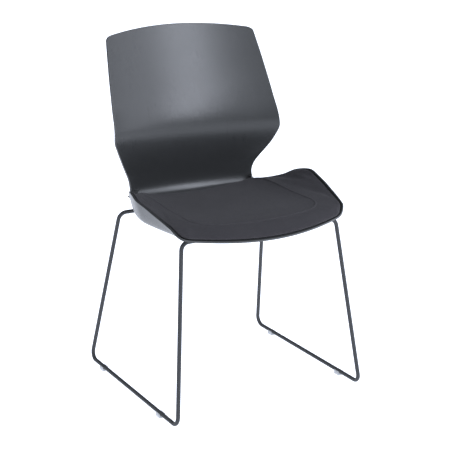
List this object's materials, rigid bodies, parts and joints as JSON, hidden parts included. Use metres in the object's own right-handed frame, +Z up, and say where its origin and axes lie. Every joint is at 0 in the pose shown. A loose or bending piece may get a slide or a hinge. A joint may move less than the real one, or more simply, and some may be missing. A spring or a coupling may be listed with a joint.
{
  "type": "sled base visitor chair",
  "caption": "Visitor chair with a one-piece moulded shell, a fabric seat pad with a raised edge on each side, and a sled frame of bent steel rod on clip-on floor glides.",
  "frame": {"origin": "on the floor, under the middle of the chair's width and depth", "axes": "+Z up, +Y towards the back of the chair, so the sitter faces -Y; +X is on the right for someone who stands in front of the chair and looks at it"},
  "size_m": [0.523, 0.4886, 0.8621],
  "materials": {
    "shell": "satin injection moulded plastic, dark slate grey",
    "pad_fabric": "fine woven upholstery cloth, charcoal",
    "pad_foam": "moulded polyurethane foam, pale",
    "pad_board": "pressed plastic board, black",
    "frame_paint": "smooth powder coat on steel rod, dark grey",
    "glide": "clear plastic clip",
    "insert": "knurled brass, seen only inside the bosses",
    "fixing": "zinc plated steel"
  },
  "bodies": {
    "root": {"shell": "shell", "pad_cover": "pad_fabric", "pad_board": "pad_board", "pad_foam": "pad_foam", "pad_nut_1": "fixing", "pad_nut_2": "fixing", "pad_nut_3": "fixing", "pad_nut_4": "fixing", "pad_screw_1": "fixing", "pad_screw_2": "fixing", "pad_screw_3": "fixing", "pad_screw_4": "fixing", "sled_rod_left": "frame_paint", "sled_rod_right": "frame_paint", "seat_rail_left": "frame_paint", "seat_rail_right": "frame_paint", "shell_insert_1": "insert", "shell_insert_2": "insert", "shell_insert_3": "insert", "shell_insert_4": "insert", "frame_screw_1": "fixing", "frame_screw_2": "fixing", "frame_screw_3": "fixing", "frame_screw_4": "fixing", "frame_washer_1": "fixing", "frame_washer_2": "fixing", "frame_washer_3": "fixing", "frame_washer_4": "fixing", "glide_front_left": "glide", "glide_front_right": "glide", "glide_rear_left": "glide", "glide_rear_right": "glide"}
  },
  "joints": []
}
